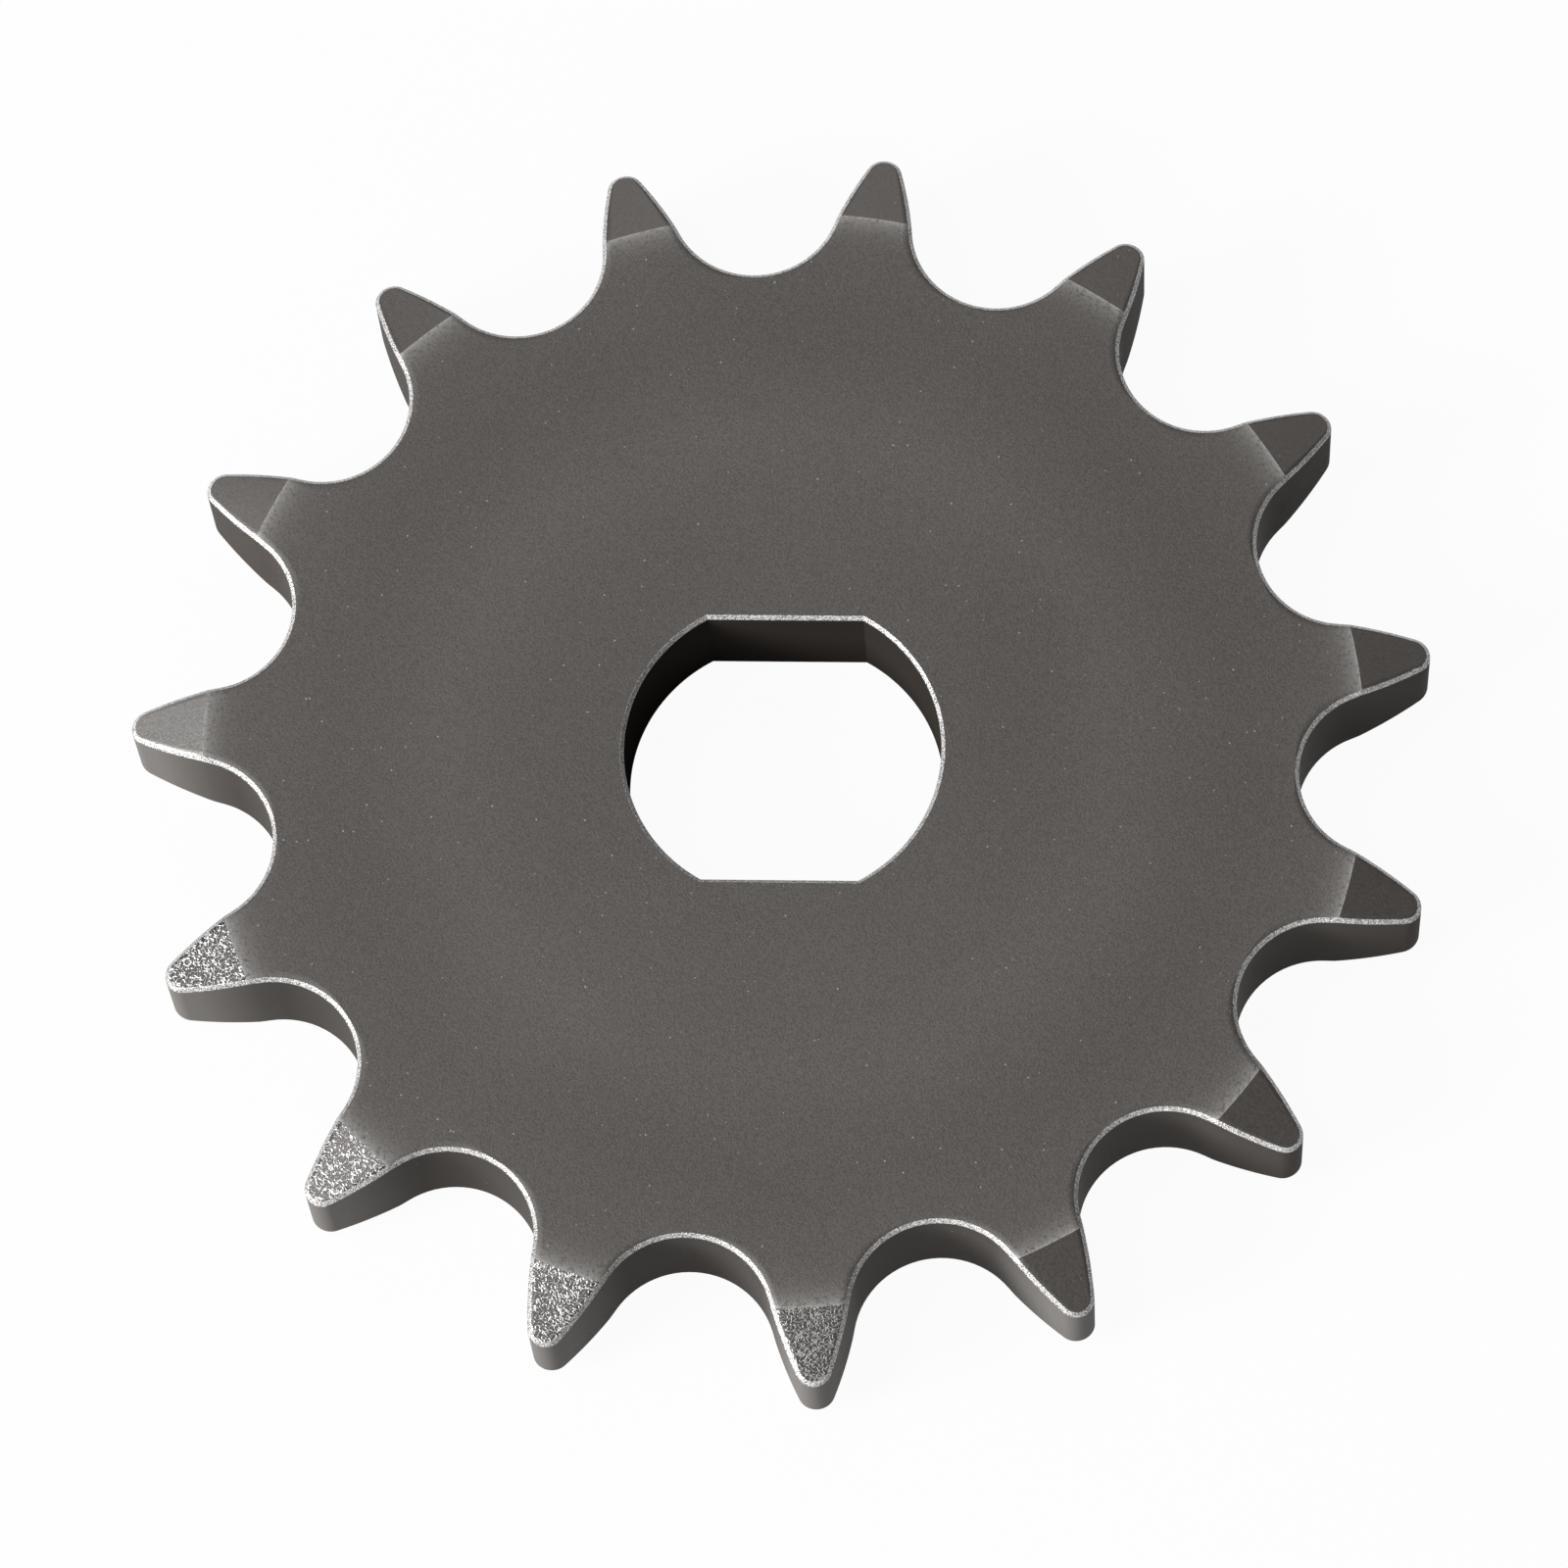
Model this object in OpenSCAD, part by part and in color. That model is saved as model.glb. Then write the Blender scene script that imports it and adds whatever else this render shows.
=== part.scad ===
// Plate sprocket for a roller chain: fifteen teeth, a bore with two flats,
// chamfered tooth tips and a light break along every edge.
// Millimetres. The bore stands on +Z, the lower face lies at z = 0 and the
// flats of the bore run along X.

/* [Teeth] */
// Number of teeth
teeth = 15; // [12:1:24]
// Chain pitch, from one tooth gap to the next
pitch = 12.7; // [12.4:0.1:13.2]
// Radius of the round seat at the foot of a gap
seat_r = 4.4; // [4.2:0.05:4.5]
// How far the seat runs round from its lowest point, in degrees
seat_sweep = 65.3; // [64:0.1:67]
// Radius of the bowed flank above the seat
flank_r = 23.5; // [20:0.5:30]
// Radius of the rounded tooth tip
tip_r = 0.93; // [0.7:0.01:1.1]
// Turn of the teeth against the flats of the bore, in degrees
tooth_turn = -8; // [-12:1:12]

/* [Plate] */
// Thickness of the plate
plate_t = 6.4; // [5:0.1:9]
// How far inside the pitch circle the tip chamfer starts
chamfer_in = 1.05; // [0:0.05:1.2]
// Slope of the tip chamfer on both faces, in degrees
chamfer_angle = 14; // [8:0.5:20]
// Width of the small break along every edge
edge_break = 0.2; // [0.1:0.02:0.3]

/* [Bore] */
// Diameter of the round part of the bore
bore_d = 16.1; // [12:0.1:24]
// Distance across the two flats, as a share of the diameter
flat_share = 0.87; // [0.75:0.01:0.94]

/* [Hidden] */
$fn = 180;
// How far a shape runs on past a face that cuts it
over = 0.5;
// Arcs that run into each other cross by this much
cross = 0.004;
half_step = 180 / teeth;
pitch_r = pitch / 2 / sin(half_step);
chamfer_r = pitch_r - chamfer_in;

// One tooth stands on +Y. The centre of the seat beside it, the point where
// seat and flank meet and the centre of the flank lie on one line, which
// meets the tooth axis at foot_y.
seat_x = pitch / 2;
seat_y = pitch_r * cos(half_step);
meet = half_step + seat_sweep;
flank_x = (seat_r + flank_r) * sin(meet) - seat_x;
flank_y = seat_y - (seat_r + flank_r) * cos(meet);
foot_y = seat_y - seat_x / tan(meet);

// Angles at the centre of the flank: where the wall leaves the seat, where
// the chamfer starts and where the round tip takes over
seat_end = 90 - meet;
chamfer_start = asin((chamfer_r - flank_y) / flank_r);
tip_start = acos(flank_x / (flank_r - tip_r));
tip_y = flank_y + (flank_r - tip_r) * sin(tip_start);

// Solid with straight walls that runs on past both faces
module raised() {
    translate([0, 0, -over])
        linear_extrude(plate_t + 2 * over)
            children();
}

// Star whose sides run from the foot of each tooth to the seat centres
module star() {
    polygon([
        for (k = [0 : 2 * teeth - 1])
            (k % 2 == 0 ? foot_y : pitch_r)
                * [sin(k * half_step), cos(k * half_step)]
    ]);
}

// Two flanks that close to a round tip, with a foot inside the star
module tooth_plan() {
    out = [flank_x, tip_y - flank_y] / 2;
    difference() {
        intersection() {
            translate([-flank_x, flank_y])
                circle(r = flank_r + cross);
            translate([flank_x, flank_y])
                circle(r = flank_r + cross);
            translate([-seat_r, foot_y - seat_r / 2])
                square([2 * seat_r, 4 * seat_r]);
        }
        translate([0, tip_y])
            difference() {
                polygon([[0, 0], out, [-out[0], out[1]]]);
                circle(r = tip_r + cross);
            }
    }
}

// Block that breaks the upper edge of a wall at forty-five degrees. The wall
// is an arc of radius r about [x, y], touched at the given angle.
module edge_block(x, y, r, angle) {
    wall_x = x + r * cos(angle);
    wall_y = y + r * sin(angle);
    in_chamfer = wall_y > chamfer_r;
    drop = in_chamfer ? (wall_y - chamfer_r) * tan(chamfer_angle) : 0;
    dip = in_chamfer ? atan(cos(angle) * tan(chamfer_angle)) : 0;
    block = seat_r / 4;
    translate([wall_x, wall_y, plate_t - drop])
        rotate([0, 0, angle])
            rotate([-dip, 0, 0])
                translate([-edge_break / 2, 0, -edge_break / 2])
                    rotate([0, 45, 0])
                        translate([-block, -3 * block, 0])
                            cube([2 * block, 6 * block, 2 * block]);
}

// Blocks along one flank and over to the middle of the tip
module edge_blocks() {
    step = (tip_start - chamfer_start) / 4;
    for (angle = [(seat_end + chamfer_start) / 2, chamfer_start + step, tip_start - step])
        edge_block(-flank_x, flank_y, flank_r, angle);
    for (share = [0.2, 0.6, 1])
        edge_block(0, tip_y, tip_r, tip_start + share * (90 - tip_start));
}

// One tooth with every edge broken
module tooth() {
    difference() {
        raised()
            tooth_plan();
        for (side = [0, 1])
            mirror([side, 0, 0]) {
                edge_blocks();
                translate([0, 0, plate_t])
                    mirror([0, 0, 1])
                        edge_blocks();
            }
    }
}

// Round hole cutter that flares at both faces
module flared_hole(r) {
    flare = edge_break + over;
    translate([0, 0, -over])
        cylinder(h = plate_t + 2 * over, r = r);
    translate([0, 0, -over])
        cylinder(h = flare, r1 = r + flare, r2 = r);
    translate([0, 0, plate_t - edge_break])
        cylinder(h = flare, r1 = r, r2 = r + flare);
}

// Teeth on the star, with the round seats cut in between
module toothed_ring() {
    difference() {
        union() {
            raised()
                star();
            for (k = [0 : teeth - 1])
                rotate([0, 0, 2 * k * half_step])
                    tooth();
        }
        for (k = [0 : teeth - 1])
            rotate([0, 0, (2 * k + 1) * half_step])
                translate([0, pitch_r, 0])
                    flared_hole(seat_r);
    }
}

// Turned plate with the tip chamfer on both faces
module plate() {
    reach = pitch_r + seat_r;
    drop = (reach - chamfer_r) * tan(chamfer_angle);
    rotate_extrude()
        polygon([
            [0, 0],
            [chamfer_r, 0],
            [reach, drop],
            [reach, plate_t - drop],
            [chamfer_r, plate_t],
            [0, plate_t]
        ]);
}

// Room between the flats of the bore, flared at both faces
module flats() {
    half = bore_d * flat_share / 2;
    flare = edge_break + over;
    rotate([90, 0, 90])
        linear_extrude(2 * bore_d, center = true)
            polygon([
                [half + flare, -over],
                [half, edge_break],
                [half, plate_t - edge_break],
                [half + flare, plate_t + over],
                [-half - flare, plate_t + over],
                [-half, plate_t - edge_break],
                [-half, edge_break],
                [-half - flare, -over]
            ]);
}

module sprocket() {
    color([0.38, 0.37, 0.36])
        difference() {
            intersection() {
                plate();
                rotate([0, 0, tooth_turn])
                    toothed_ring();
            }
            intersection() {
                flared_hole(bore_d / 2);
                flats();
            }
        }
}

sprocket();
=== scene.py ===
# Plate sprocket on a pale floor. Metres; the bore stands on +Z, its flats run along X.
import math
import bpy
from mathutils import Matrix, Vector


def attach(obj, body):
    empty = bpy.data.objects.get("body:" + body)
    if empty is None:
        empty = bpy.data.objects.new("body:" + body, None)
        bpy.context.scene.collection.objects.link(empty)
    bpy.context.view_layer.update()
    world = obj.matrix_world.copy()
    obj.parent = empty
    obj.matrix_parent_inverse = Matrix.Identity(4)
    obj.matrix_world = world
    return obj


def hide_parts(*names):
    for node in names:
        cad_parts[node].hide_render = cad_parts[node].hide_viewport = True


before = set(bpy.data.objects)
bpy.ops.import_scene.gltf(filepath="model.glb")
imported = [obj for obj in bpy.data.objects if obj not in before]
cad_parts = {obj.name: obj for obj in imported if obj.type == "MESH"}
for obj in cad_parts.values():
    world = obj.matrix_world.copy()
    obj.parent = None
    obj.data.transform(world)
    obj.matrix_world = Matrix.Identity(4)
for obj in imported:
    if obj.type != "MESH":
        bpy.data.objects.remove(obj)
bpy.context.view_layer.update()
mm = 0.001
print("frame loaded:", sorted(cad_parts))

# Camera: where it stood, from a fit of the tooth and bore outlines
cameraFit = dict(
    place=(19.440, -150.234, 418.735),  # mm, from the middle of the lower face
    azimuth=7.4185,
    elevation=70.0634,
    roll=-6.4779,
    lens=199.17,  # mm
    sensor=36,  # mm
    clipStart=0.01,  # metres
)


def makeCamera(fit):
    az, el, roll = (math.radians(fit[key]) for key in ("azimuth", "elevation", "roll"))
    back = Vector((math.sin(az) * math.cos(el), -math.cos(az) * math.cos(el), math.sin(el)))
    right = Vector((math.cos(az), math.sin(az), 0))
    up = back.cross(right)
    turnedRight = math.cos(roll) * right + math.sin(roll) * up
    turnedUp = math.cos(roll) * up - math.sin(roll) * right
    data = bpy.data.cameras.new("camera")
    data.lens = fit["lens"]
    data.sensor_width = fit["sensor"]
    data.clip_start = fit["clipStart"]
    camera = bpy.data.objects.new("camera", data)
    bpy.context.scene.collection.objects.link(camera)
    turn = Matrix((turnedRight, turnedUp, back)).transposed().to_4x4()
    camera.matrix_world = Matrix.Translation(Vector(fit["place"]) * mm) @ turn
    bpy.context.scene.camera = camera


makeCamera(cameraFit)
print("camera placed")


# Node helpers
def addNode(tree, kind, inputs=None, **settings):
    node = tree.nodes.new(kind)
    for name, value in settings.items():
        setattr(node, name, value)
    for key, value in (inputs or {}).items():
        value = getattr(value, "socket", value)
        if isinstance(value, bpy.types.NodeSocket):
            tree.links.new(value, node.inputs[key])
        else:
            node.inputs[key].default_value = value
    return node


class Wire:
    # A value in a node tree that can stand in a plain sum
    def __init__(self, tree, socket):
        self.tree = tree
        self.socket = socket

    def sum(self, operation, *others):
        values = dict(enumerate((self, *others)))
        node = addNode(self.tree, "ShaderNodeMath", values, operation=operation)
        return Wire(self.tree, node.outputs[0])

    def __add__(self, other):
        return self.sum("ADD", other)

    def __sub__(self, other):
        return self.sum("SUBTRACT", other)

    def __mul__(self, other):
        return self.sum("MULTIPLY", other)

    def __truediv__(self, other):
        return self.sum("DIVIDE", other)

    def __neg__(self):
        return self.sum("MULTIPLY", -1)

    def __getattr__(self, name):
        # floor, sine, absolute, less_than and the like are named as the Math node names them
        return lambda *others: self.sum(name.upper(), *others)

    def clamped(self):
        return self.sum("MAXIMUM", 0).sum("MINIMUM", 1)

    def pick(self, whenFalse, whenTrue):
        return whenFalse * (self * -1 + 1) + whenTrue * self


def wires(tree, node, *labels):
    return [Wire(tree, node.outputs[label]) for label in labels]


def nodeGroup(name, kind, inputs, outputs):
    tree = bpy.data.node_groups.new(name, kind)
    for label, (socketType, value) in inputs.items():
        socket = tree.interface.new_socket(label, in_out="INPUT", socket_type=socketType)
        if value is not None:
            socket.default_value = value
    for label, socketType in outputs.items():
        tree.interface.new_socket(label, in_out="OUTPUT", socket_type=socketType)
    return tree, addNode(tree, "NodeGroupInput"), addNode(tree, "NodeGroupOutput")


# The plate: what a user would change
plate = dict(
    sizes={
        "Pitch": 12.7 * mm,
        "Seat Radius": 4.4 * mm,
        "Flank Radius": 23.5 * mm,
        "Tip Radius": 0.93 * mm,
        "Thickness": 6.4 * mm,
        "Chamfer In": 1.05 * mm,  # inside the pitch circle
        "Edge Break": 0.2 * mm,
        "Bore Diameter": 16.1 * mm,
        "Across Flats": 14.007 * mm,
        "Hub Radius": 12 * mm,  # ring where teeth and middle join
    },
    angles={"Seat Sweep": 65.3, "Chamfer Slope": 14, "Tooth Turn": -8},
    counts={"Teeth": 15, "Columns": 12},  # columns across one tooth
    steps=dict(hub=3, seat=14, lowFlank=4, highFlank=8, tip=8),  # mesh rows along half a tooth
    section=4,  # mesh rows from the face down to the wall
    weld=2e-6,  # metres; points this near are joined
)
finishNames = ["steelFace", "turnedFacet", "brokenEdge", "cutWall", "boreWall"]
surfaceOf = {name: number for number, name in enumerate(finishNames)}
slack = 0.3  # a field stands for a whole number if it lies within this of it


def makeOutlineGroup(steps):
    # One point of half a tooth's outline, set in from the wall by Inset: seat, flank, then tip
    labels = ("Row", "Inset", "Pitch", "Seat Radius", "Flank Radius", "Tip Radius", "Chamfer In",
              "Edge Break", "Seat Sweep", "Half Step")
    tree, start, end = nodeGroup(
        "Tooth outline", "GeometryNodeTree", {label: ("NodeSocketFloat", 0.0) for label in labels},
        {label: "NodeSocketFloat" for label in ("X", "Y", "Pitch Radius")})
    row, inset, pitch, seatR, flankR, tipR, chamferIn, edgeBreak, sweep, halfStep = wires(
        tree, start, *labels)
    pitchR = pitch / (halfStep.sine() * 2)
    seatX, seatY = pitch / 2, pitchR * halfStep.cosine()
    meet = halfStep + sweep
    flankX = (seatR + flankR) * meet.sine() - seatX  # left of the tooth axis
    flankY = seatY - (seatR + flankR) * meet.cosine()
    seatEnd = -meet + math.pi / 2
    tipStart = (flankX / (flankR - tipR)).arccosine()
    tipY = flankY + (flankR - tipR) * tipStart.sine()
    # The chamfer line crosses the inset flank here
    reach = flankR - edgeBreak
    away = (flankX * flankX + flankY * flankY).sqrt()
    ridge = ((pitchR - chamferIn).power(2) - away * away - reach * reach) / (reach * 2)
    ridge = flankX.arctan2(flankY) + (ridge / away).arcsine()
    first, second = steps["seat"], steps["seat"] + steps["lowFlank"]
    third = second + steps["highFlank"]
    seatAngle = -(halfStep + sweep * (row / first).clamped()) + math.pi / 2
    lowFlank = (ridge - seatEnd) * ((row - first) / steps["lowFlank"]).clamped()
    highFlank = (tipStart - ridge) * ((row - second) / steps["highFlank"]).clamped()
    flankAngle = seatEnd + lowFlank + highFlank
    tipShare = ((row - third) / steps["tip"]).clamped()
    tipAngle = tipStart + (-tipStart + math.pi / 2) * tipShare
    arcs = ((seatX, seatY, -(seatR + inset), seatAngle),
            (-flankX, flankY, flankR - inset, flankAngle),
            (flankX * 0, tipY, tipR - inset, tipAngle))
    points = [(x + r * a.cosine(), y + r * a.sine()) for x, y, r, a in arcs]
    onFlank, onTip = row.greater_than(first + 0.5), row.greater_than(third + 0.5)
    for axis, label in enumerate("XY"):
        value = onTip.pick(onFlank.pick(points[0][axis], points[1][axis]), points[2][axis])
        tree.links.new(value.socket, end.inputs[label])
    tree.links.new(pitchR.socket, end.inputs["Pitch Radius"])
    return tree


def makePlateTree(settings):
    inputs = {"Geometry": ("NodeSocketGeometry", None)}
    for part, kind in (("sizes", "NodeSocketFloat"), ("angles", "NodeSocketFloat"),
                       ("counts", "NodeSocketInt")):
        inputs.update({name: (kind, value) for name, value in settings[part].items()})
    inputs.update({name: ("NodeSocketMaterial", None) for name in finishNames})
    tree, start, end = nodeGroup("Sprocket plate", "GeometryNodeTree", inputs,
                                 {"Geometry": "NodeSocketGeometry"})
    size = {name: Wire(tree, start.outputs[name]) for name in settings["sizes"]}
    angle = {name: Wire(tree, start.outputs[name]) * (math.pi / 180) for name in settings["angles"]}
    teeth, columns = wires(tree, start, "Teeth", "Columns")
    steps, section = settings["steps"], settings["section"]
    outlineGroup = makeOutlineGroup(steps)
    rows = steps["seat"] + steps["lowFlank"] + steps["highFlank"] + steps["tip"]
    halfStep = teeth.power(-1) * math.pi
    index = Wire(tree, addNode(tree, "GeometryNodeInputIndex").outputs[0])
    thickness, edgeBreak = size["Thickness"], size["Edge Break"]
    slope = angle["Chamfer Slope"].tangent()

    def outlinePoint(row, inset):
        labels = ("Pitch", "Seat Radius", "Flank Radius", "Tip Radius", "Chamfer In", "Edge Break")
        values = {label: size[label] for label in labels}
        values.update({"Row": row, "Inset": inset, "Seat Sweep": angle["Seat Sweep"],
                       "Half Step": halfStep})
        node = addNode(tree, "GeometryNodeGroup", values, node_tree=outlineGroup)
        return wires(tree, node, "X", "Y", "Pitch Radius")

    def faceHeight(radius, pitchR):
        return thickness - (radius - pitchR + size["Chamfer In"]).maximum(0) * slope

    def storeSurface(geometry, value):
        return addNode(tree, "GeometryNodeStoreNamedAttribute",
                       {"Geometry": geometry, "Name": "surface", "Value": value},
                       data_type="FLOAT", domain="FACE").outputs[0]

    def readSurface():
        return Wire(tree, addNode(tree, "GeometryNodeInputNamedAttribute", {"Name": "surface"},
                                  data_type="FLOAT").outputs[0])

    def makeSheet(countX, countY, place, finish):
        # A grid whose points are placed by a rule; finish gives each of its faces a rank
        grid = addNode(tree, "GeometryNodeMeshGrid", {"Vertices X": countX, "Vertices Y": countY})
        along = (index / countY).floor()
        across = index - along * countY
        x, y, z = place(along, across)
        position = addNode(tree, "ShaderNodeCombineXYZ", {0: x, 1: y, 2: z})
        moved = addNode(tree, "GeometryNodeSetPosition",
                        {"Geometry": grid.outputs["Mesh"], "Position": position.outputs[0]})
        onPoints = addNode(tree, "GeometryNodeFieldOnDomain", {0: finish(along, across)},
                           data_type="FLOAT", domain="POINT")
        return storeSurface(moved.outputs[0], onPoints.outputs[0])

    def dip(rank):
        # Share of the edge break: 0 at the face, then 0.2, 0.8 and 1 at the wall
        perRow, heldBack = 0.6, 0.4
        return (rank * perRow - heldBack).clamped()

    def placeFace(along, across):
        row = along - steps["hub"]
        x, y, pitchR = outlinePoint(row.maximum(0), edgeBreak)
        outlineR = (x * x + y * y).sqrt()
        inHub = row.less_than(0)
        hubR = size["Hub Radius"]
        radius = inHub.pick(outlineR, hubR + (outlineR - hubR) * (along / steps["hub"]))
        spread = x.arctan2(y) * (-(across / columns * 2) + 1)
        return radius * spread.sine(), radius * spread.cosine(), faceHeight(radius, pitchR)

    def placeWall(along, across):
        side = along - rows
        rank = across.minimum(-across + (2 * section - 1))
        inset = edgeBreak * (-dip(rank) + 1)
        x, y, pitchR = outlinePoint(-side.absolute() + rows, inset)
        radius = (x * x + y * y).sqrt()
        z = faceHeight(radius, pitchR) - edgeBreak * dip(rank)
        isLower = across.greater_than(section - 0.5)
        return x * side.sign(), y, isLower.pick(z, thickness - z)

    def placeBore(along, across):
        firstTurn = angle["Tooth Turn"] + math.pi / 2 - halfStep
        around = halfStep * 2 / columns * along + firstTurn
        rank = across.minimum(-across + (2 * section + 1))
        share = dip(rank - 1)
        grow = edgeBreak * (-share + 1)
        half, radius = size["Across Flats"] / 2 + grow, size["Bore Diameter"] / 2 + grow
        # The column nearest to a corner of the bore is moved onto it
        corner = (half / radius).arcsine()
        miss = corner - around.pingpong(math.pi / 2)
        rising = (around / math.pi).fract().less_than(0.5) * 2 - 1
        snapped = miss.absolute().less_than(halfStep / columns) * miss * rising
        onRing = rank.less_than(0.5)
        turned = around + snapped * (-onRing + 1)
        leastSine = 0.001
        boreR = radius.minimum(half / turned.sine().absolute().maximum(leastSine))
        r = onRing.pick(boreR, size["Hub Radius"])
        z = thickness - edgeBreak * share
        isLower = across.greater_than(section + 0.5)
        return r * turned.cosine(), r * turned.sine(), isLower.pick(z, thickness - z)

    faceRows = steps["hub"] + rows + 1
    facetFrom = steps["hub"] + steps["seat"] + steps["lowFlank"]

    def faceRank(along, across):
        # Above 0 on the chamfer, below 0 on the flat face
        return along - facetFrom

    def wallRank(along, across):
        return across

    upper = makeSheet(faceRows, columns + 1, placeFace, faceRank)
    lower = addNode(tree, "GeometryNodeTransform", {
        "Geometry": upper, "Scale": (1, 1, -1),
        "Translation": addNode(tree, "ShaderNodeCombineXYZ", {2: thickness}).outputs[0]})
    lower = addNode(tree, "GeometryNodeFlipFaces", {0: lower.outputs[0]}).outputs[0]
    wall = makeSheet(2 * rows + 1, 2 * section, placeWall, wallRank)
    bore = makeSheet(teeth * columns + 1, 2 * section + 2, placeBore, wallRank)

    def numbered(geometry, rule):
        # Turns the stored rank of each face into the number of its finish
        return storeSurface(geometry, rule(readSurface()))

    def numberOf(value, name):
        return value * 0 + surfaceOf[name]

    def faceNumber(value):
        return value.greater_than(0) * surfaceOf["turnedFacet"]

    def wallNumber(value):
        isWall = (value - (section - 0.5)).absolute().less_than(slack)
        return isWall.pick(numberOf(value, "brokenEdge"), numberOf(value, "cutWall"))

    def boreNumber(value):
        off = (value - (section + 0.5)).absolute()
        isWall, isFace = off.less_than(slack), off.greater_than(section - slack)
        inside = isWall.pick(numberOf(value, "brokenEdge"), numberOf(value, "boreWall"))
        return isFace.pick(inside, numberOf(value, "steelFace"))

    tooth = addNode(tree, "GeometryNodeJoinGeometry")
    for geometry, rule in ((wall, wallNumber), (lower, faceNumber), (upper, faceNumber)):
        tree.links.new(numbered(geometry, rule), tooth.inputs[0])
    # The tooth is repeated round the axis
    spots = addNode(tree, "GeometryNodePoints", {"Count": teeth})
    turns = addNode(tree, "ShaderNodeCombineXYZ", {2: halfStep * 2 * index + angle["Tooth Turn"]})
    ring = addNode(tree, "GeometryNodeInstanceOnPoints", {
        "Points": spots.outputs[0], "Instance": tooth.outputs[0], "Rotation": turns.outputs[0]})
    whole = addNode(tree, "GeometryNodeJoinGeometry")
    tree.links.new(numbered(bore, boreNumber), whole.inputs[0])
    tree.links.new(ring.outputs[0], whole.inputs[0])
    real = addNode(tree, "GeometryNodeRealizeInstances", {0: whole.outputs[0]})
    merged = addNode(tree, "GeometryNodeMergeByDistance",
                     {"Geometry": real.outputs[0], "Distance": settings["weld"]})
    geometry = merged.outputs[0]
    number = readSurface()
    for name in finishNames:
        chosen = (number - surfaceOf[name]).absolute().less_than(slack)
        geometry = addNode(tree, "GeometryNodeSetMaterial", {
            "Geometry": geometry, "Selection": chosen,
            "Material": start.outputs[name]}).outputs[0]
    tree.links.new(geometry, end.inputs[0])
    return tree


# Shared effects
rimRadius = 30 * mm  # where an angle round the axis is turned into a length


def aroundAxis(tree):
    # Place in the object, and its distance from the axis, angle round it and height
    place = addNode(tree, "ShaderNodeTexCoord").outputs["Object"]
    split = addNode(tree, "ShaderNodeSeparateXYZ", {0: place})
    x, y, z = (Wire(tree, split.outputs[i]) for i in range(3))
    return dict(place=place, radius=(x * x + y * y).sqrt(), angle=y.arctan2(x), height=z)


def effectGroup(name, inputs, *outputs):
    tree, start, end = nodeGroup(
        name, "ShaderNodeTree",
        {label: ("NodeSocketFloat", value) for label, value in inputs.items()},
        {label: "NodeSocketFloat" for label in outputs})
    return tree, wires(tree, start, *inputs), end


def makeGrainGroup():
    # Fine cutting marks: a height, and the same marks as a tone
    tree, (size, stretch, roundness), end = effectGroup(
        "Grain", {"Size": 0.15 * mm, "Stretch": 2.0, "Roundness": 0.5}, "Height", "Tone")
    spot = aroundAxis(tree)
    polar = addNode(tree, "ShaderNodeCombineXYZ", {
        0: spot["radius"] / size / stretch, 1: spot["angle"] * rimRadius / size,
        2: spot["height"] / size})
    marks = addNode(tree, "ShaderNodeTexNoise", {
        "Vector": polar.outputs[0], "Scale": 1.0, "Detail": 1.5, "Roughness": 0.6,
        "Distortion": 1.2})
    spots = addNode(tree, "ShaderNodeVectorMath", {0: spot["place"], "Scale": size.power(-1)},
                    operation="SCALE")
    grit = addNode(tree, "ShaderNodeTexNoise", {
        "Vector": spots.outputs[0], "Scale": 1.3, "Detail": 1.0, "Distortion": 0.4})
    height = roundness.pick(Wire(tree, marks.outputs[0]), Wire(tree, grit.outputs[0]))
    tree.links.new(height.socket, end.inputs["Height"])
    tone = addNode(tree, "ShaderNodeMapRange",
                   {"Value": height, "From Min": 0.35, "From Max": 0.65})
    tree.links.new(tone.outputs[0], end.inputs["Tone"])
    return tree


def makeSpeckGroup():
    # Small light specks, scattered, and a slow change of tone over the surface
    tree, (spacing, radius, share), end = effectGroup(
        "Specks", {"Spacing": 0.64 * mm, "Radius": 0.08, "Share": 0.5}, "Specks", "Mottle")
    sharpness = 3
    place = addNode(tree, "ShaderNodeTexCoord").outputs["Object"]
    scaled = addNode(tree, "ShaderNodeVectorMath", {0: place, "Scale": spacing.power(-1)},
                     operation="SCALE")
    cells = addNode(tree, "ShaderNodeTexVoronoi", {"Vector": scaled.outputs[0], "Scale": 1.0})
    split = addNode(tree, "ShaderNodeSeparateColor", {0: cells.outputs["Color"]})
    lot, bright = (Wire(tree, split.outputs[i]) for i in range(2))
    distance = Wire(tree, cells.outputs["Distance"])
    dots = (-(distance / radius) * sharpness + sharpness).clamped()
    tree.links.new((dots * lot.less_than(share) * bright).socket, end.inputs["Specks"])
    slow = addNode(tree, "ShaderNodeTexNoise",
                   {"Vector": place, "Scale": 55.0, "Detail": 3.0, "Roughness": 0.55})
    tree.links.new(slow.outputs[0], end.inputs["Mottle"])
    return tree


def makeBlendHighlightGroup():
    # Painted highlight inside the chamfer line, where a rounded blend would catch the light: a fine
    # line beside it, then a long ragged fade
    tree, (ridge, width, ragged, lineWidth, lineShare), end = effectGroup(
        "Chamfer blend highlight", {"Radius": 29.49 * mm, "Width": 0.55 * mm, "Ragged": 3.6,
                        "Line Width": 0.06875 * mm, "Line Share": 0.45}, "Blend Highlight")
    spot = aroundAxis(tree)
    noise = Wire(tree, addNode(tree, "ShaderNodeTexNoise", {
        "Vector": spot["place"], "Scale": 5200.0, "Detail": 2.0}).outputs[0])
    off = (ridge - spot["radius"]).maximum(0)
    fade = (-(off / width)).exponent() * ((noise - 0.5) * ragged + 1).clamped()
    line = (-(off / lineWidth)).exponent() * lineShare
    tree.links.new((fade + line).socket, end.inputs["Blend Highlight"])
    return tree


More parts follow.
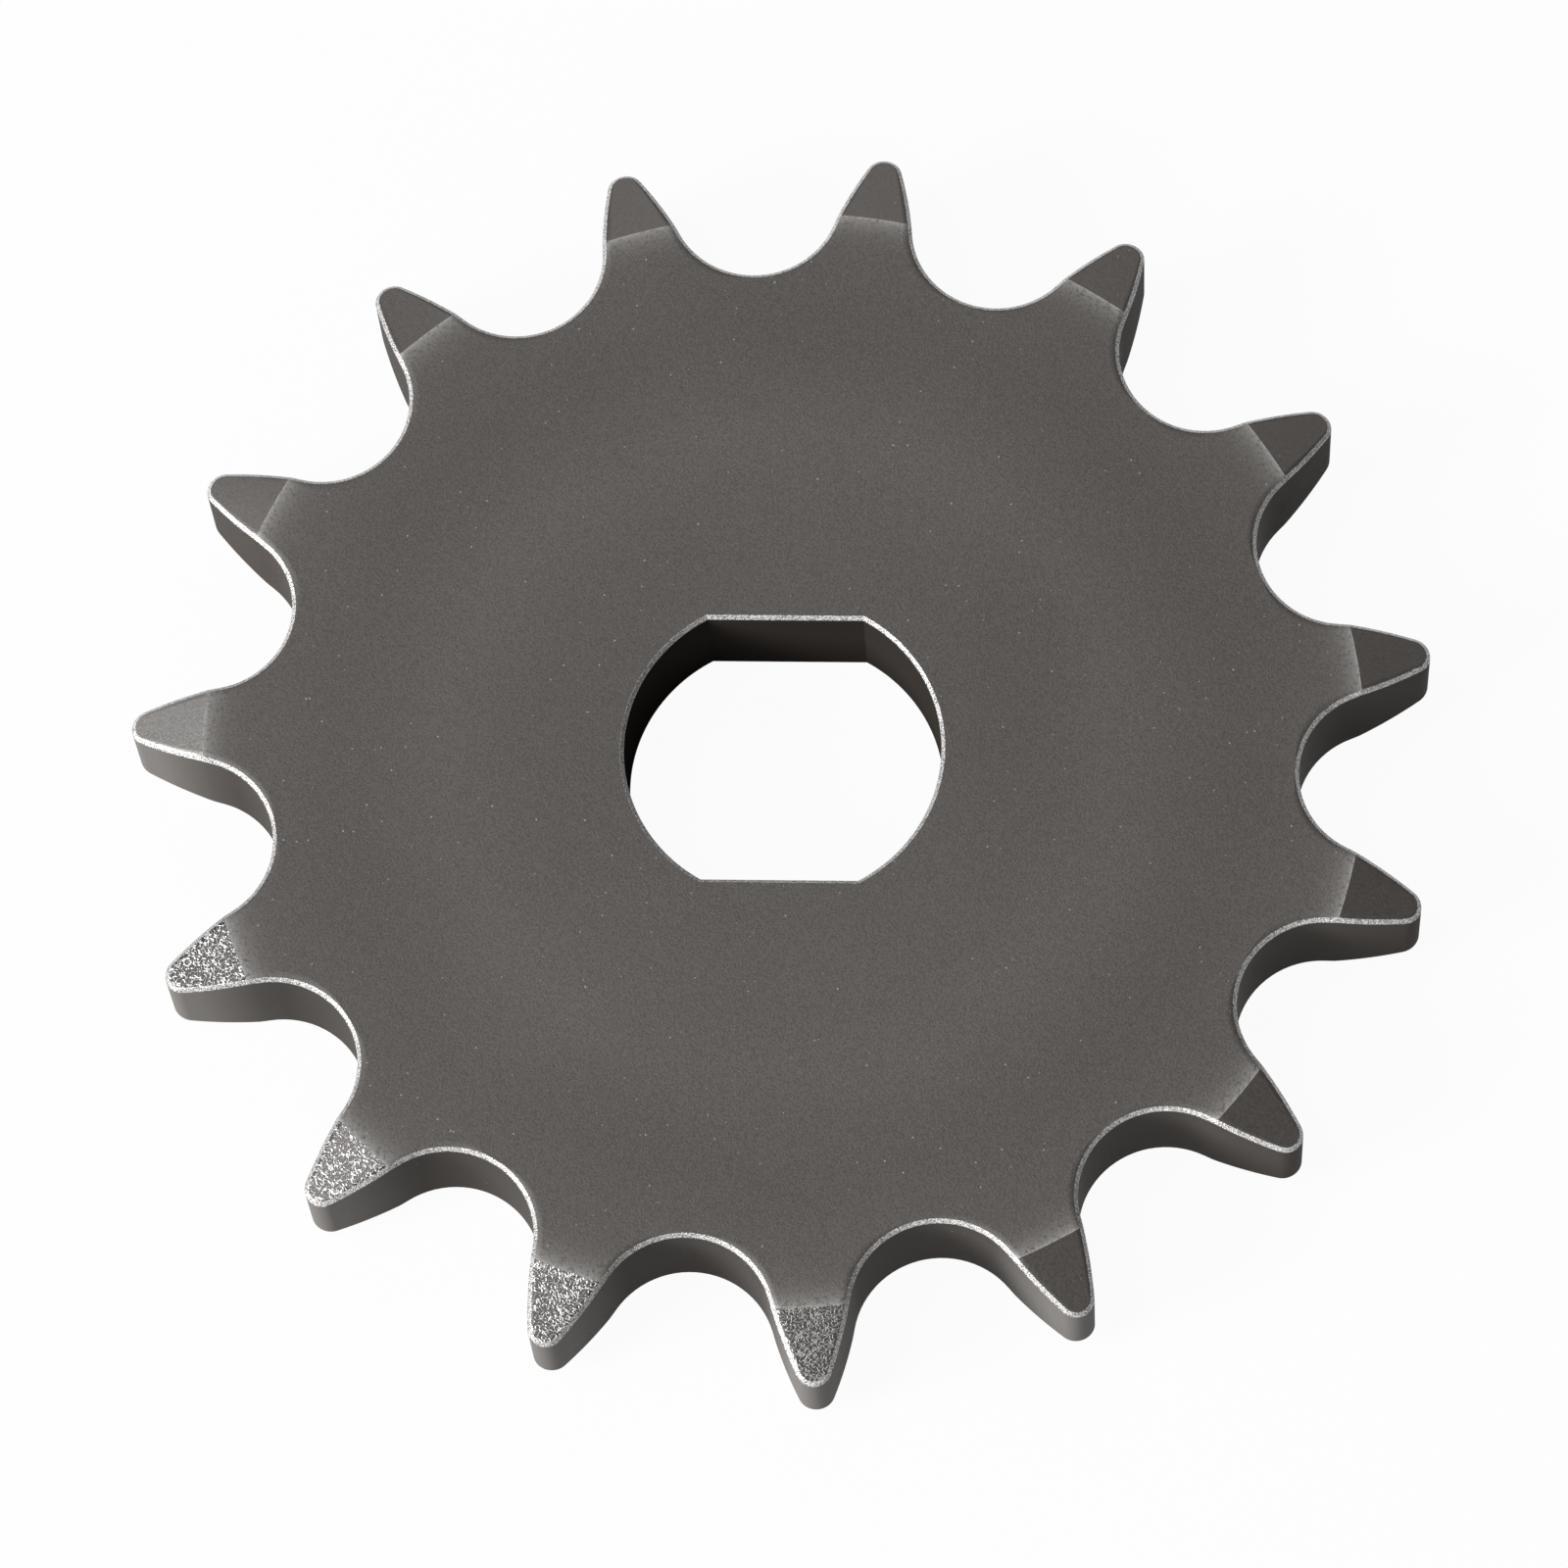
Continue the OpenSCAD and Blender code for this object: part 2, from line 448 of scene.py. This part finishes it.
def makeMarksGroup():
    # Fine crinkled lines, like the skin of a finger, that the cutter left on the chamfer
    tree, (spacing, thinness, squeeze), end = effectGroup(
        "Cutter marks", {"Spacing": 0.15 * mm, "Thinness": 10.0, "Squeeze": 0.75}, "Lines")
    spot = aroundAxis(tree)
    polar = addNode(tree, "ShaderNodeCombineXYZ", {
        0: spot["radius"] / spacing, 1: spot["angle"] * rimRadius / spacing * squeeze})
    noise = addNode(tree, "ShaderNodeTexNoise", {
        "Vector": polar.outputs[0], "Scale": 1.0, "Detail": 0.0, "Distortion": 0.3})
    lines = (-(Wire(tree, noise.outputs[0]) - 0.5).absolute() * thinness + 1).clamped()
    tree.links.new(lines.socket, end.inputs["Lines"])
    return tree


def makeTipGroup():
    # Rises from 0 to 1 toward the tooth tips; used as painted light that makes the wall tips paler
    # than the shaded roots
    tree, (near, far), end = effectGroup("Painted tip light", {"From": 28.0 * mm, "To": 32.0 * mm}, "Tips")
    share = ((aroundAxis(tree)["radius"] - near) / (far - near)).clamped()
    tree.links.new(share.socket, end.inputs["Tips"])
    return tree


def makeRingGroup():
    # Share by which the tone of the faces changes: a light ring, and a dark one farther out
    tree, (lightR, darkR, width, gain, loss, base), end = effectGroup(
        "Face rings", {"Light Radius": 17.0 * mm, "Dark Radius": 23.0 * mm, "Width": 2.55 * mm,
                       "Gain": 0.075, "Loss": 0.06, "Base": -0.04}, "Rings")
    radius = aroundAxis(tree)["radius"]
    offs = [(radius - middle) / width for middle in (lightR, darkR)]
    lightBand, darkBand = ((-(off * off)).exponent() for off in offs)
    tree.links.new((lightBand * gain - darkBand * loss + base).socket, end.inputs["Rings"])
    return tree


def makePatchGroup():
    # A stretch of the rim, in degrees round the axis: 1 in it, 0 outside, soft at its ends
    tree, (middle, halfWidth, softness), end = effectGroup(
        "Stretch of rim", {"Middle": 0.0, "Half Width": 45.0, "Softness": 10.0}, "Patch")
    angle = aroundAxis(tree)["angle"] * (180 / math.pi)
    off = (angle - middle).wrap(-180, 180).absolute()
    share = ((halfWidth - off) / softness + 0.5).clamped()
    tree.links.new(share.socket, end.inputs["Patch"])
    return tree


grainGroup, speckGroup, blendHighlightGroup = makeGrainGroup(), makeSpeckGroup(), makeBlendHighlightGroup()
marksGroup, tipGroup = makeMarksGroup(), makeTipGroup()
ringGroup, patchGroup = makeRingGroup(), makePatchGroup()

# Stretches of the rim, in degrees, with cutter marks and with painted light and shade of their own
stretches = {
    # The marked stretch has real cutter marks; their light lines are painted glints where the light
    # catches
    "markedAndGlinting": {"Middle": -122.0, "Half Width": 48.0},  # four teeth with coarse cutter marks
    "heavy": {"Middle": -170.0, "Half Width": 87.0, "Softness": 60.0},  # marks at full strength
    # Painted highlight: two facets made lighter in colour, where the lamps would light them
    "paintedSheenTeeth": {"Middle": 172.0, "Half Width": 16.2, "Softness": 18.0},  # two teeth with a sheen
    # Painted light: walls paler toward the tips over this stretch, their roots left dark as painted
    # shade
    "paintedTipLight": {"Middle": -120.0, "Half Width": 70.0},  # walls that are paler at the tips
}
# The finishes: what a user would change
plainFinish = dict(metallic=0.0, rough=0.6, gloss=0.5, grainSize=0.12, stretch=1.0, grit=0.8,
                   marks=0.0, shade=0.0, paintedSheen=0.0, blendHighlight=0.0, rings=0.0, tips=0.0)
finishes = {
    "steelFace": dict(plainFinish, color=(0.0915, 0.083, 0.0765), light=(0.38, 0.37, 0.36),
                      metallic=0.35, rough=0.5, grit=0.9, bump=0.018, tone=0.4,
                      specks=0.9, mottle=0.08, blendHighlight=0.6, rings=1.0),
    "turnedFacet": dict(plainFinish, color=(0.120, 0.109, 0.102), light=(0.78, 0.77, 0.76),
                        metallic=0.6, rough=0.36, stretch=1.6, grit=0.35, bump=0.018, tone=0.3,
                        specks=0.25, mottle=0.06, marks=0.92, shade=0.45, paintedSheen=0.2),
    "brokenEdge": dict(plainFinish, color=(0.43, 0.425, 0.42), light=(0.9, 0.9, 0.89),
                       metallic=0.5, rough=0.36, grainSize=0.1, bump=0.05, tone=1.5,
                       specks=0.4, mottle=0.2),
    "cutWall": dict(plainFinish, color=(0.048, 0.042, 0.0375), light=(0.2, 0.19, 0.18),
                    gloss=0.03, grainSize=0.16, bump=0.01, tone=0.2,
                    specks=0.4, mottle=0.1, tips=0.6),
    # Bore wall darker than the cut walls: painted shade for the inside of the bore
    "boreWall": dict(plainFinish, color=(0.028, 0.024, 0.021), light=(0.05, 0.045, 0.04),
                     gloss=0.0, grainSize=0.16, bump=0.01, tone=0.1,
                     specks=0.2, mottle=0.1),
}


def makeFinish(name, look):
    material = bpy.data.materials.new(name)
    material.use_nodes = True
    tree = material.node_tree
    shader = tree.nodes["Principled BSDF"]

    def effect(group, inputs=None):
        node = addNode(tree, "ShaderNodeGroup", inputs, node_tree=group)
        return {output.name: Wire(tree, output) for output in node.outputs}

    def patch(stretch):
        return effect(patchGroup, stretches[stretch])["Patch"]

    grain = effect(grainGroup, {"Size": look["grainSize"] * mm, "Stretch": look["stretch"],
                                "Roundness": look["grit"]})
    dots = effect(speckGroup, {"Share": look["specks"]})
    height, mask = grain["Height"], dots["Specks"]
    mottle = (dots["Mottle"] - 0.5) * (look["mottle"] * 4) + 1
    level = mottle * ((grain["Tone"] - 0.5) * look["tone"] + 1)
    if look["rings"]:
        level = level * (effect(ringGroup)["Rings"] * look["rings"] + 1)
    # Painted highlight along the chamfer line, mixed into the face colour
    if look["blendHighlight"]:
        mask = mask.maximum(effect(blendHighlightGroup)["Blend Highlight"] * look["blendHighlight"])
    # Cutter marks as bumps on four teeth, with painted glints in their light lines and painted
    # shade on the base between them
    if look["marks"]:
        markedAndGlinting = patch("markedAndGlinting") * patch("heavy")
        lines = effect(marksGroup)["Lines"]
        mask = mask.maximum(markedAndGlinting * lines * look["marks"])
        height = markedAndGlinting.pick(height, lines)
        level = level * (-markedAndGlinting * look["shade"] + 1)
    # Painted highlight on two teeth, mixed into the facet colour
    if look["paintedSheen"]:
        mask = mask.maximum(patch("paintedSheenTeeth") * look["paintedSheen"])
    # Painted light on the wall tips and painted shade in the roots, set by radius over one stretch
    if look["tips"]:
        mask = mask.maximum(effect(tipGroup)["Tips"] * patch("paintedTipLight") * look["tips"])
    toned = addNode(tree, "ShaderNodeVectorMath", {0: look["color"], "Scale": level},
                    operation="SCALE")
    # Inputs 6 and 7 of Mix are its two colours
    colour = addNode(tree, "ShaderNodeMix", {
        "Factor": mask, 6: toned.outputs[0], 7: (*look["light"], 1)}, data_type="RGBA")
    spread = 0.1  # of roughness, with the grain
    rough = grain["Tone"] * spread + (look["rough"] - spread / 2)
    bump = addNode(tree, "ShaderNodeBump", {
        "Height": height, "Distance": look["bump"] * mm, "Strength": 1.0})
    shader.inputs["Metallic"].default_value = look["metallic"]
    shader.inputs["Specular IOR Level"].default_value = look["gloss"]
    for key, value in (("Base Color", colour.outputs[2]), ("Roughness", rough.socket),
                       ("Normal", bump.outputs[0])):
        tree.links.new(value, shader.inputs[key])
    return material


materials = {name: makeFinish(name, look) for name, look in finishes.items()}
print("finishes made:", len(materials))


def makePlate(settings):
    tree = makePlateTree(settings)
    shell = bpy.data.objects.new("plateShell", bpy.data.meshes.new("plateShell"))
    bpy.context.scene.collection.objects.link(shell)
    builder = shell.modifiers.new("plate", "NODES")
    builder.node_group = tree
    values = {**settings["sizes"], **settings["angles"], **settings["counts"], **materials}
    for item in tree.interface.items_tree:
        if item.in_out == "INPUT" and item.name in values:
            builder[item.identifier] = values[item.name]
    finished = bpy.data.objects.new("sprocketPlate", realMesh(shell))
    bpy.context.scene.collection.objects.link(finished)
    bpy.data.objects.remove(shell)
    markCreases(finished.data)
    finished.modifiers.new("evenNormals", "WEIGHTED_NORMAL").keep_sharp = True
    mesh = realMesh(finished)
    finished.modifiers.clear()
    finished.data = mesh
    mesh.name = "sprocketPlate"
    return finished


def realMesh(thing):
    graph = bpy.context.evaluated_depsgraph_get()
    return bpy.data.meshes.new_from_object(
        thing.evaluated_get(graph), preserve_all_data_layers=True, depsgraph=graph)


def markCreases(mesh):
    # The chamfer line and the corners of the bore stay crisp; every other edge is shaded round
    roundest = math.radians(15)
    hubRadius = plate["sizes"]["Hub Radius"]
    surface = [round(item.value) for item in mesh.attributes["surface"].data]
    beside = {}
    for face in mesh.polygons:
        face.use_smooth = True
        for key in face.edge_keys:
            beside.setdefault(key, []).append(face)
    chamferLine = {surfaceOf["steelFace"], surfaceOf["turnedFacet"]}
    inner = surfaceOf["boreWall"], surfaceOf["brokenEdge"]
    for edge in mesh.edges:
        faces = beside[tuple(sorted(edge.vertices))]
        kinds = [surface[face.index] for face in faces]
        if set(kinds) == chamferLine:
            edge.use_edge_sharp = True
        elif len(faces) == 2 and kinds[0] == kinds[1] and kinds[0] in inner:
            inBore = Vector(mesh.vertices[edge.vertices[0]].co[:2]).length < hubRadius
            edge.use_edge_sharp = inBore and faces[0].normal.angle(faces[1].normal) > roundest


sprocketPlate = makePlate(plate)
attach(sprocketPlate, "root")
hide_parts("sprocket")
print("plate made:", len(sprocketPlate.data.polygons), "faces")

# Floor, lamps and sky
studio = dict(
    floorSize=8,  # metres
    floorDrop=1e-5,  # metres under the part
    floorColor=(0.6, 0.6, 0.6, 1),
    floorRough=0.9,
    floorWhite=0.95,  # share of plain white that the eye and reflections see
    sky=0.13,
)
lamps = {  # degrees, metres and watts
    "key": dict(azimuth=204, elevation=25, away=0.75, size=(0.3, 0.3), power=9.2),
    "high": dict(azimuth=186, elevation=67, away=0.6, size=(0.18, 0.18), power=1.1),
    "back": dict(azimuth=100, elevation=42, away=0.6, size=(0.3, 0.3), power=0.38),
    "backRight": dict(azimuth=62, elevation=42, away=0.6, size=(0.3, 0.3), power=0.16),
    "front": dict(azimuth=268, elevation=20, away=0.6, size=(0.3, 0.2), power=0.72),
}


def makeFloor(look):
    mesh = bpy.data.meshes.new("floor")
    half, low = look["floorSize"] / 2, -look["floorDrop"]
    corners = [(x * half, y * half, low) for x, y in ((-1, -1), (1, -1), (1, 1), (-1, 1))]
    mesh.from_pydata(corners, [], [(0, 1, 2, 3)])
    floor = bpy.data.objects.new("floor", mesh)
    bpy.context.scene.collection.objects.link(floor)
    material = bpy.data.materials.new("paleFloor")
    material.use_nodes = True
    tree = material.node_tree
    paint = tree.nodes["Principled BSDF"]
    paint.inputs["Base Color"].default_value = look["floorColor"]
    paint.inputs["Roughness"].default_value = look["floorRough"]
    paint.inputs["Specular IOR Level"].default_value = 0.0
    path = addNode(tree, "ShaderNodeLightPath")
    camera, glossy, through = wires(
        tree, path, "Is Camera Ray", "Is Glossy Ray", "Is Transmission Ray")
    seen = camera.maximum(glossy).maximum(through) * look["floorWhite"]
    white = addNode(tree, "ShaderNodeEmission", {"Color": (1, 1, 1, 1), "Strength": 1.0})
    mixed = addNode(tree, "ShaderNodeMixShader",
                    {0: seen, 1: paint.outputs[0], 2: white.outputs[0]})
    tree.links.new(mixed.outputs[0], tree.nodes["Material Output"].inputs["Surface"])
    mesh.materials.append(material)


def makeLamp(name, look):
    az, el = math.radians(look["azimuth"]), math.radians(look["elevation"])
    out = Vector((math.cos(az) * math.cos(el), math.sin(az) * math.cos(el), math.sin(el)))
    data = bpy.data.lights.new(name, "AREA")
    data.shape = "RECTANGLE"
    data.size, data.size_y = look["size"]
    data.energy = look["power"]
    lamp = bpy.data.objects.new(name, data)
    bpy.context.scene.collection.objects.link(lamp)
    turn = out.to_track_quat("Z", "Y").to_matrix().to_4x4()
    lamp.matrix_world = Matrix.Translation(out * look["away"]) @ turn


def makeSky(look):
    world = bpy.data.worlds.new("studio")
    world.use_nodes = True
    background = world.node_tree.nodes["Background"]
    background.inputs["Color"].default_value = (1, 1, 1, 1)
    background.inputs["Strength"].default_value = look["sky"]
    bpy.context.scene.world = world


makeFloor(studio)
for lampName, lampLook in lamps.items():
    makeLamp(lampName, lampLook)
makeSky(studio)
bpy.context.scene.view_settings.view_transform = "Standard"
print("studio made")
